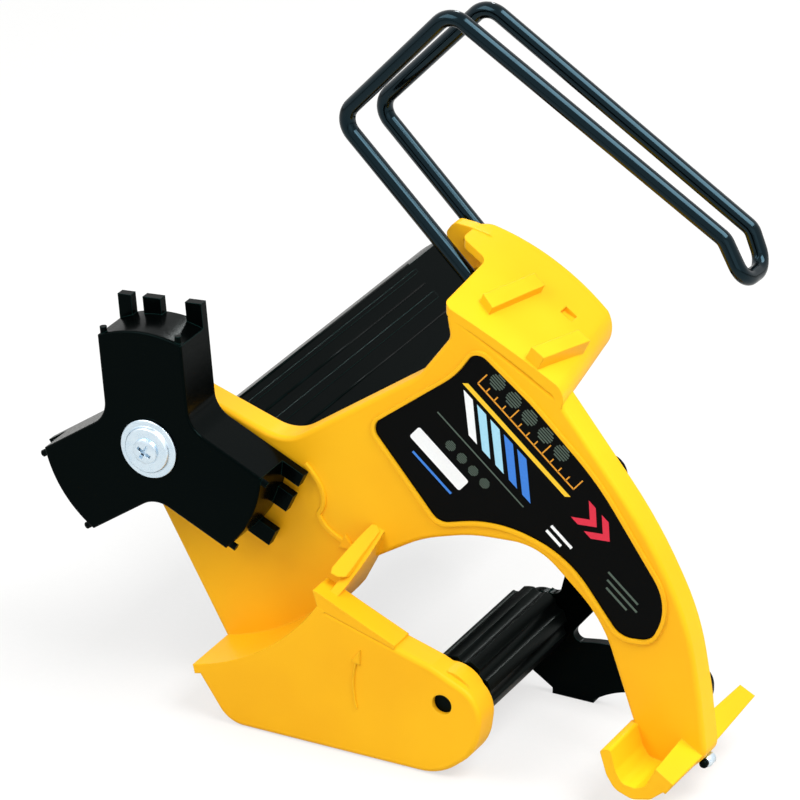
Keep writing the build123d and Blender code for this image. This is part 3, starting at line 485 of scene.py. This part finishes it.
# %% Turning a profile
def turned(profile, axis, steps=48):
    """Vertices and faces of a closed solid of revolution from (radius, depth) corners."""
    ring = profile[0] == profile[-1]
    rows = profile[:-1] if ring else profile
    angles = [2 * pi * i / steps for i in range(steps)]
    vertices = [place(axis[0] + radius * cos(angle), depth, axis[1] + radius * sin(angle))
                for radius, depth in rows for angle in angles]
    faces = []
    for k in range(len(rows) if ring else len(rows) - 1):
        below, above = k * steps, (k + 1) % len(rows) * steps
        for i in range(steps):
            j = (i + 1) % steps
            faces.append((below + i, below + j, above + j, above + i))
    if not ring:
        faces += [tuple(range(steps)), tuple(range((len(rows) - 1) * steps, len(rows) * steps))]
    return vertices, faces


# %% Foot pin
PIN_AXIS = (85.4, 8.3)
pin = make_piece("foot_pin", *turned([
    (0.9, 4.6), (1.5, 4.7), (1.95, 5.4), (2.05, 5.7), (2.05, 8.3), (1.8, 8.8), (0.8, 8.9),
], PIN_AXIS), zinc_plate, slot="zinc_steel")
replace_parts(soft_edges(pin), "foot_screw")
tip = make_piece("foot_tip", *turned([
    (0.5, 3.0), (1.1, 3.1), (1.4, 3.6), (1.4, 4.3), (1.0, 4.7),
], PIN_AXIS), roller_rubber, slot="black_rubber")
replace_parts(soft_edges(tip), "foot_bumper")
print("pin", len(pin.data.polygons), "faces, tip", len(tip.data.polygons), "faces")

# %% [markdown]
# The hub's washer is a pressed cup: a flat rim on the hub and a raised middle that the screw's head
# stands on. The head has a cross recess, cut by a Boolean, so that its walls fall into shade.

# %% Cupped washer
TAPE_AXIS = (-90.0, 83.0)
BORE = 2.2
RIM_FRONT, RIM_BACK = -19.5, -18.6
CUP_FRONT, CUP_BACK = -20.8, -19.9
washer = make_piece("hub_washer_cup", *turned([
    (BORE, CUP_BACK), (6.3, CUP_BACK), (6.9, RIM_BACK), (9.3, RIM_BACK), (9.5, RIM_BACK - 0.2),
    (9.5, RIM_FRONT + 0.2), (9.3, RIM_FRONT), (7.8, RIM_FRONT), (7.6, RIM_FRONT - 0.1),
    (7.25, CUP_FRONT + 0.2), (7.0, CUP_FRONT), (BORE, CUP_FRONT), (BORE, CUP_BACK),
], TAPE_AXIS, 72), zinc_plate, slot="zinc_steel")
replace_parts(soft_edges(washer), "tape_hub_washer")
print("washer faces", len(washer.data.polygons))


# %% Blank and cutter of the screw
def plain(piece):
    """Corners and faces of an object after its modifiers; the object itself goes."""
    bpy.context.view_layer.update()
    evaluated = piece.evaluated_get(bpy.context.evaluated_depsgraph_get())
    mesh = bpy.data.meshes.new_from_object(evaluated)
    bpy.data.objects.remove(piece)
    return [v.co.copy() for v in mesh.vertices], [tuple(face.vertices) for face in mesh.polygons]


HEAD_FOOT = CUP_FRONT - 0.02        # the head all but touches the cup
HEAD_PROFILE = [(1.9, -10.0), (1.9, HEAD_FOOT), (4.0, HEAD_FOOT), (4.15, CUP_FRONT - 0.3),
                (3.95, CUP_FRONT - 0.8), (3.2, CUP_FRONT - 1.15), (2.0, CUP_FRONT - 1.3),
                (0.4, CUP_FRONT - 1.35)]
blank = add_object("screw_blank", closed_mesh("screw_blank", *turned(HEAD_PROFILE, TAPE_AXIS)))
ARM, HALF_WIDE = 2.5, 0.55          # length and half width of the cross's arms
CROSS_TURN = radians(-30)
cross = []
for quarter in range(4):
    turn = CROSS_TURN + quarter * pi / 2
    cross += [(TAPE_AXIS[0] + a * cos(turn) - b * sin(turn),
               TAPE_AXIS[1] + a * sin(turn) + b * cos(turn))
              for a, b in ((ARM, -HALF_WIDE), (ARM, HALF_WIDE), (HALF_WIDE, HALF_WIDE))]
cutter = add_object("cross_cutter", closed_mesh("cross_cutter", *prism(
    [place(x, CUP_FRONT - 2.0, z) for x, z in cross],
    [place(x, CUP_FRONT + 0.5, z) for x, z in cross])))
print("cross corners", len(cross))

# %% Cut the recess
recess = blank.modifiers.new("recess", "BOOLEAN")
recess.operation = "DIFFERENCE"
recess.object = cutter
recess.solver = "EXACT"
screw = make_piece("hub_screw", *plain(blank), zinc_plate, slot="zinc_steel")
bpy.data.objects.remove(cutter)
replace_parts(soft_edges(screw), "tape_hub_screw")
print("screw faces", len(screw.data.polygons))

# %% [markdown]
# ## Print on the label
# The black film carries a screen print in a few opaque inks. Each ink is a film of its own, a few
# hundredths of a millimetre thick, and is drawn here a little thicker so that it never flickers.
# The motifs are plain shapes: speed bars, a blank plate, a pair of chevrons, fine rules and a row
# of hatched dots under a scale of ticks.

# %% Inks
MOTTLE_MM = 0.8         # the ink's mottle is finer, and is drawn as wide as this to show


def ink(name, light, dark):
    """Opaque screen ink: nearly flat colour with the print's fine mottle and a satin gloss."""
    made, tree, shader = new_material(name)
    spot = add_node(tree, "ShaderNodeTexCoord").outputs["Object"]
    mottle = add_node(tree, "ShaderNodeTexNoise", {"Scale": 1 / (MOTTLE_MM * MM), "Detail": 3.0},
                      {"Vector": spot})
    colour = add_node(tree, "ShaderNodeMix", {MIX_A: shade(dark), MIX_B: shade(light)},
                      {MIX_FACTOR: mottle.outputs["Fac"]}, data_type="RGBA")
    tree.links.new(colour.outputs[MIXED], shader.inputs["Base Color"])
    gloss = add_node(tree, "ShaderNodeMapRange", {"To Min": 0.42, "To Max": 0.56},
                     {"Value": mottle.outputs["Fac"]})
    tree.links.new(gloss.outputs["Result"], shader.inputs["Roughness"])
    bump = add_node(tree, "ShaderNodeBump", {"Strength": 0.15, "Distance": 0.01 * MM},
                    {"Height": mottle.outputs["Fac"]})
    tree.links.new(bump.outputs["Normal"], shader.inputs["Normal"])
    return made


inks = {
    "white": ink("Screen ink white", "#F4F6F6", "#E6EAEC"),
    "yellow": ink("Screen ink yellow", "#F6C914", "#EDBB0E"),
    "amber": ink("Screen ink amber", "#E59A12", "#D68C0E"),
    "pale_blue": ink("Screen ink pale blue", "#A9DDF2", "#93CDE6"),
    "blue": ink("Screen ink blue", "#2E7FE0", "#226FCB"),
    "red": ink("Screen ink red", "#E0123A", "#CC0F33"),
    "grey_green": ink("Screen ink grey green", "#4A5C50", "#394A40"),
}
print("inks", list(inks))

# %% [markdown]
# The print is laid out on its own axes: `u` runs down the label along the handle and `v` across it.
# A patch is a closed outline in those axes, pushed out of the film by the thickness of the ink.

# %% Flat patches of ink
LABEL_TURN = radians(-41)
LABEL_ORIGIN = (20.0, 100.0)
FILM_FRONT = 0.1
INK_HIGH = 0.06
INK_SUNK = 0.02         # the underside of the ink lies this deep in the film


def on_label(u, v, over):
    """Point over the label's film from the print's own axes."""
    x = LABEL_ORIGIN[0] + u * cos(LABEL_TURN) - v * sin(LABEL_TURN)
    z = LABEL_ORIGIN[1] + u * sin(LABEL_TURN) + v * cos(LABEL_TURN)
    return place(x, FILM_FRONT - over, z)


def patches(name, colour, outlines):
    """One piece of ink from several closed outlines, each a thin prism."""
    vertices, faces = [], []
    for outline in outlines:
        first = len(vertices)
        corners, sides = prism([on_label(u, v, -INK_SUNK) for u, v in outline],
                               [on_label(u, v, INK_HIGH) for u, v in outline])
        vertices += corners
        faces += [tuple(first + i for i in side) for side in sides]
    return make_piece(name, vertices, faces, inks[colour], slot="label_film")


print("label's origin in metres", [round(c, 4) for c in on_label(0, 0, 0)])


# %% Motifs
def bar(u, v, length, width, lean=0.0):
    """Outline of a bar from its left middle, with leaning ends."""
    h = width / 2
    return [(u - lean, v - h), (u + length - lean, v - h), (u + length + lean, v + h),
            (u + lean, v + h)]


def speed_bar(number):
    """Outline of one in a row of slanting bars, 4 mm wide at the top and 3.6 mm at the foot."""
    u, top, foot = -20.5 + 5.9 * number, 3.2, -6.6
    return [(u, top), (u + 4.0, top), (u + 14.5, foot), (u + 10.9, foot)]


def rounded(u, v, length, width, radius):
    """Outline of a rounded rectangle round a middle point."""
    outline = []
    for turn_from, sx, sy in ((0, 1, 1), (90, -1, 1), (180, -1, -1), (270, 1, -1)):
        cu, cv = u + sx * (length / 2 - radius), v + sy * (width / 2 - radius)
        for a in range(turn_from, turn_from + 91, 15):
            outline.append((cu + radius * cos(radians(a)), cv + radius * sin(radians(a))))
    return outline


def chevron(u, v, size, thick):
    """Outline of one chevron that points down the label."""
    return [(u, v + size), (u + thick, v + size), (u + size + thick, v), (u + thick, v - size),
            (u, v - size), (u + size, v)]


# %% Print
SCALE_START, SCALE_V = -19.0, 8.6
TICK_PITCH, TICK_HALF = 3.5, 0.2
SHORT_TICK, LONG_TICK = 2.0, 4.6        # every fourth tick is long
ticks = []
for i in range(13):
    u, end = SCALE_START + TICK_PITCH * i, SCALE_V + (SHORT_TICK if i % 4 else LONG_TICK)
    ticks.append([(u - TICK_HALF, SCALE_V), (u + TICK_HALF, SCALE_V), (u + TICK_HALF, end),
                  (u - TICK_HALF, end)])
patches("print_bars_white", "white", [
    speed_bar(0), rounded(-10.5, -20.6, 22.0, 5.0, 0.8), bar(26.6, -6.4, 9.0, 1.0),
    bar(26.6, -8.8, 6.4, 1.0)])
patches("print_bars_pale_blue", "pale_blue", [speed_bar(1), speed_bar(2)])
patches("print_bars_blue", "blue", [speed_bar(3), speed_bar(4)])
patches("print_stripe_yellow", "yellow", [bar(-21.5, 5.2, 45.0, 1.5, 0.6)])
patches("print_chevrons_red", "red", [chevron(28.5, 5.6, 4.4, 3.0), chevron(34.2, 5.6, 4.4, 3.0)])
patches("print_rules_pale", "grey_green", [
    bar(48.0, -2.2, 13.0, 0.7), bar(49.5, -4.4, 13.0, 0.7), bar(51.0, -6.6, 9.0, 0.7),
    bar(-21.0, -9.4, 38.0, 0.45)])
patches("print_plate_line", "blue", [bar(-17.5, -26.0, 17.0, 0.8)])
patches("print_scale_amber", "amber", [bar(SCALE_START, SCALE_V, 42.0, 0.5)] + ticks)
print("ticks", len(ticks))

# %% [markdown]
# The hatched dots repeat, so Geometry Nodes place them: a line of points along the label, on each a
# stack of fine bars whose lengths follow the chord of a circle.

# %% Heights and chords of a dot's bars
dots, given = geometry_tree("hatched dots", [
    ("Dots", "NodeSocketInt", 6), ("Dot pitch", "NodeSocketFloat", 7.0 * MM),
    ("Dot radius", "NodeSocketFloat", 2.6 * MM), ("Bars", "NodeSocketInt", 6),
    ("Bar share", "NodeSocketFloat", 0.55), ("Ink thickness", "NodeSocketFloat", INK_HIGH * MM),
])


def value_of(tree, operation, first, second=None):
    """One step of arithmetic in a tree; each term is a socket or a number."""
    terms = {i: term for i, term in enumerate((first, second)) if term is not None}
    numbers = {i: term for i, term in terms.items() if isinstance(term, (int, float))}
    sockets = {i: term for i, term in terms.items() if i not in numbers}
    return add_node(tree, "ShaderNodeMath", numbers, sockets, operation=operation).outputs[0]


across = value_of(dots, "MULTIPLY", given["Dot radius"], 2.0)
bar_pitch = value_of(dots, "DIVIDE", across, given["Bars"])
number = add_node(dots, "GeometryNodeInputIndex").outputs[0]
half_count = value_of(dots, "MULTIPLY", given["Bars"], 0.5)
from_middle = value_of(dots, "SUBTRACT", value_of(dots, "ADD", number, 0.5), half_count)
height = value_of(dots, "MULTIPLY", from_middle, bar_pitch)
share = value_of(dots, "DIVIDE", height, given["Dot radius"])
squared = value_of(dots, "MULTIPLY", share, share)
chord = value_of(dots, "SQRT", value_of(dots, "SUBTRACT", 1.0, squared))
print("steps of arithmetic", sum(node.type == "MATH" for node in dots.nodes))

# %% One dot and the row of dots
row = add_node(dots, "GeometryNodeMeshLine", links={"Count": given["Bars"]}, mode="OFFSET")
up = add_node(dots, "ShaderNodeCombineXYZ", links={1: height})
stack = add_node(dots, "GeometryNodeSetPosition",
                 links={"Geometry": row.outputs[0], "Position": up.outputs[0]})
bar_size = add_node(dots, "ShaderNodeCombineXYZ", links={
    0: across, 1: value_of(dots, "MULTIPLY", bar_pitch, given["Bar share"]),
    2: given["Ink thickness"]})
one_bar = add_node(dots, "GeometryNodeMeshCube", links={"Size": bar_size.outputs[0]})
bar_stretch = add_node(dots, "ShaderNodeCombineXYZ", {1: 1.0, 2: 1.0}, {0: chord})
dot = add_node(dots, "GeometryNodeInstanceOnPoints", links={
    "Points": stack.outputs[0], "Instance": one_bar.outputs["Mesh"],
    "Scale": bar_stretch.outputs[0]})
whole_dot = add_node(dots, "GeometryNodeRealizeInstances", links={0: dot.outputs[0]})
step = add_node(dots, "ShaderNodeCombineXYZ", links={0: given["Dot pitch"]})
along = add_node(dots, "GeometryNodeMeshLine",
                 links={"Count": given["Dots"], "Offset": step.outputs[0]}, mode="OFFSET")
all_dots = add_node(dots, "GeometryNodeInstanceOnPoints", links={
    "Points": along.outputs[0], "Instance": whole_dot.outputs[0]})
real = add_node(dots, "GeometryNodeRealizeInstances", links={0: all_dots.outputs[0]})
inked = add_node(dots, "GeometryNodeSetMaterial", {"Material": inks["grey_green"]},
                 {0: real.outputs[0]})
add_node(dots, "NodeGroupOutput", links={0: inked.outputs[0]})
print(dots.name, "has", len(dots.nodes), "nodes")


# %% Grow the dots on the label
def grown(name, tree, lay, finish, slot, body="frame", points=(), smooth=False, **inputs):
    """Plain piece from a tree on seed points; the function lay takes each point to its place."""
    seed = add_object(name + "_seed", bpy.data.meshes.new(name + "_seed"))
    seed.data.from_pydata([tuple(c * MM for c in point) for point in points], [], [])
    modifier = seed.modifiers.new(name, "NODES")
    modifier.node_group = tree
    sockets = {item.name: item.identifier for item in tree.interface.items_tree
               if item.in_out == "INPUT"}
    for label, value in inputs.items():
        modifier[sockets[label.replace("_", " ")]] = value
    vertices, faces = plain(seed)
    return make_piece(name, [lay(v / MM) for v in vertices], faces, finish, body, slot, smooth)


grown("print_dots_upper", dots, lambda p: on_label(p.x - 15.2, p.y + 14.2, p.z + INK_HIGH / 2),
      inks["grey_green"], slot="label_film", Dots=5)
grown("print_dots_lower", dots, lambda p: on_label(p.x - 11.0, p.y - 14.2, p.z + INK_HIGH / 2),
      inks["grey_green"], slot="label_film", Dots=4, Dot_radius=1.7 * MM, Dot_pitch=5.0 * MM)

# %% [markdown]
# ## Beads on the mandrel
# Fine round beads run along the sides of the mandrel's arms and let the paper core slide. They are
# of the arms' own black nylon, whose edge colour paints each of them as a thin cold highlight, on top
# of the light they catch. One tree sets a slender cylinder on every seed point, and a function lays
# all of them along the depth.

# %% A tree for beads
BEADS = (12.6, 127.4)       # depth of the beads' front and back ends
beads, given = geometry_tree("beads on a mandrel", [
    ("Bead radius", "NodeSocketFloat", 0.38 * MM),
    ("Bead length", "NodeSocketFloat", (BEADS[1] - BEADS[0]) * MM),
])
rod = add_node(beads, "GeometryNodeMeshCylinder", {"Vertices": 12},
               {"Radius": given["Bead radius"], "Depth": given["Bead length"]})
rods = add_node(beads, "GeometryNodeInstanceOnPoints",
                links={"Points": given["Geometry"], "Instance": rod.outputs["Mesh"]})
solid_rods = add_node(beads, "GeometryNodeRealizeInstances", links={0: rods.outputs[0]})
black_rods = add_node(beads, "GeometryNodeSetMaterial", {"Material": black_nylon},
                      {0: solid_rods.outputs[0]})
add_node(beads, "NodeGroupOutput", links={0: black_rods.outputs[0]})
print("bead length", round(BEADS[1] - BEADS[0], 1), "mm")

# %% Beads along the arms
PAPER_AXIS = Vector((-59.2, 54.6))
PAPER_ARMS = (136, 256, 16)         # degrees, from the right and turning upwards
ARM_HALF = 11.0
BEAD_REACH = (17.5, 28.6, 36.6)     # distances of the beads from the axis
bead_points = []
for angle in PAPER_ARMS:
    out = Vector((cos(radians(angle)), sin(radians(angle))))
    side = Vector((-out.y, out.x))
    for reach in BEAD_REACH:
        for offset in (-ARM_HALF, ARM_HALF):
            spot = PAPER_AXIS + out * reach + side * offset
            bead_points.append((spot.x, spot.y, 0.0))
grown("mandrel_beads", beads, lambda p: place(p.x, p.z + sum(BEADS) / 2, p.y), black_nylon,
      body=body_of(nodes["paper_hub"])[0], slot="black_nylon", points=bead_points, smooth=True)
print("beads", len(bead_points))

# %% [markdown]
# ## Camera
# The photograph looks down at about 25 degrees from the front right, through a long lens. The
# camera stands that far back, and its aim is the middle of the picture.

# %% Camera
AZIMUTH = radians(27.5)
ELEVATION = radians(25.5)
AIM = Vector((-22.3, 15.0, 102.4)) * MM
DISTANCE = 1.83
camera_data = bpy.data.cameras.new("camera")
camera_data.lens = 274.5
camera_data.sensor_width = 36.0
camera_data.clip_end = 20.0
camera = add_object("camera", camera_data)
back = Vector((sin(AZIMUTH) * cos(ELEVATION), -cos(AZIMUTH) * cos(ELEVATION), sin(ELEVATION)))
camera.location = AIM + back * DISTANCE
camera.rotation_euler = back.to_track_quat("Z", "Y").to_euler()
scene.camera = camera
print("camera", [round(c, 3) for c in camera.location])

# %% [markdown]
# ## Light
# A long softbox at the upper right is the key, and its length runs along the depth. A wide soft
# lamp at the front left opens the shadows, a weak one low at the front right fills the dark sides,
# and a small one behind draws thin lines of light on the black parts.


# %% Lamps
def soft_lamp(name, size, watts, location, length=None):
    """A rectangular lamp that looks at the middle of the tool."""
    data = bpy.data.lights.new(name, "AREA")
    data.shape = "RECTANGLE"
    data.size = length or size
    data.size_y = size
    data.energy = watts
    lamp = add_object(name, data)
    lamp.location = location
    lamp.rotation_euler = (Vector(location) - AIM).to_track_quat("Z", "Y").to_euler()


soft_lamp("lamp_key", 0.60, 20.5, (0.63, 0.015, 1.11), length=1.0)
soft_lamp("lamp_left", 0.80, 9.5, (-0.62, -0.72, 0.95))
soft_lamp("lamp_fill", 0.90, 1.5, (0.95, -0.95, 0.35))
soft_lamp("lamp_rim", 0.12, 1.6, (-0.38, 0.97, 0.73))
print("lamps", round(sum(lamp.energy for lamp in bpy.data.lights), 1), "W in all")

# %% [markdown]
# ## White world and floor
# The picture stands on white. The world is dim as a lamp and white to whatever looks at it: to the
# camera, in a gloss and through glass. The floor is pale paper that keeps the tool's shadow, and
# for the camera alone a glow is mixed in, so that it ends in the same white as the backdrop.

# %% World
SKY_DIM, SKY_SEEN = 0.4, 1.0
WHITE = shade("#FFFFFF")
world = bpy.data.worlds.new("white studio")
scene.world = world
world.use_nodes = True
sky = world.node_tree
sky.nodes.clear()
rays = add_node(sky, "ShaderNodeLightPath")
seen = value_of(sky, "MAXIMUM", rays.outputs["Is Camera Ray"], rays.outputs["Is Transmission Ray"])
seen = value_of(sky, "MAXIMUM", seen, rays.outputs["Is Glossy Ray"])
soft = add_node(sky, "ShaderNodeBackground", {"Color": WHITE, "Strength": SKY_DIM})
bright = add_node(sky, "ShaderNodeBackground", {"Color": WHITE, "Strength": SKY_SEEN})
choice = add_node(sky, "ShaderNodeMixShader",
                  links={0: seen, 1: soft.outputs[0], 2: bright.outputs[0]})
add_node(sky, "ShaderNodeOutputWorld", links={"Surface": choice.outputs[0]})
print("world", SKY_DIM, "as a lamp,", SKY_SEEN, "in view")

# %% Paper of the floor
FIBRE_MM = 2.0          # paper fibre, drawn far coarser than it is
GLOW, GLOW_SHARE = 1.2, 0.55
paper, paper_tree, paper_shader = new_material("Pale paper floor")
spot = add_node(paper_tree, "ShaderNodeTexCoord").outputs["Object"]
fibre = add_node(paper_tree, "ShaderNodeTexNoise", {"Scale": 1 / (FIBRE_MM * MM), "Detail": 2.0},
                 {"Vector": spot})
tone = add_node(paper_tree, "ShaderNodeMix", {MIX_A: shade("#C2C2C0"), MIX_B: shade("#C8C8C6")},
                {MIX_FACTOR: fibre.outputs["Fac"]}, data_type="RGBA")
paper_tree.links.new(tone.outputs[MIXED], paper_shader.inputs["Base Color"])
paper_shader.inputs["Roughness"].default_value = 0.9
glow = add_node(paper_tree, "ShaderNodeEmission", {"Color": WHITE, "Strength": GLOW})
camera_ray = add_node(paper_tree, "ShaderNodeLightPath").outputs["Is Camera Ray"]
far_view = add_node(paper_tree, "ShaderNodeMixShader", links={
    0: value_of(paper_tree, "MULTIPLY", camera_ray, GLOW_SHARE),
    1: paper_shader.outputs["BSDF"], 2: glow.outputs[0]})
paper_out = next(node for node in paper_tree.nodes if node.type == "OUTPUT_MATERIAL")
paper_tree.links.new(far_view.outputs[0], paper_out.inputs["Surface"])
print(paper.name, "glows by", GLOW_SHARE, "to the camera")

# %% Floor
FLOOR_HALF = 3.0
FLOOR_DROP = 0.0002     # the floor lies this far under the tool, in metres, and so never flickers
floor_mesh = bpy.data.meshes.new("floor")
floor_mesh.from_pydata([(x * FLOOR_HALF, y * FLOOR_HALF, 0)
                        for x, y in ((-1, -1), (1, -1), (1, 1), (-1, 1))], [], [(0, 1, 2, 3)])
floor_mesh.materials.append(paper)
floor = add_object("floor", floor_mesh)
floor.location.z = -FLOOR_DROP
print("floor", 2 * FLOOR_HALF, "m wide")
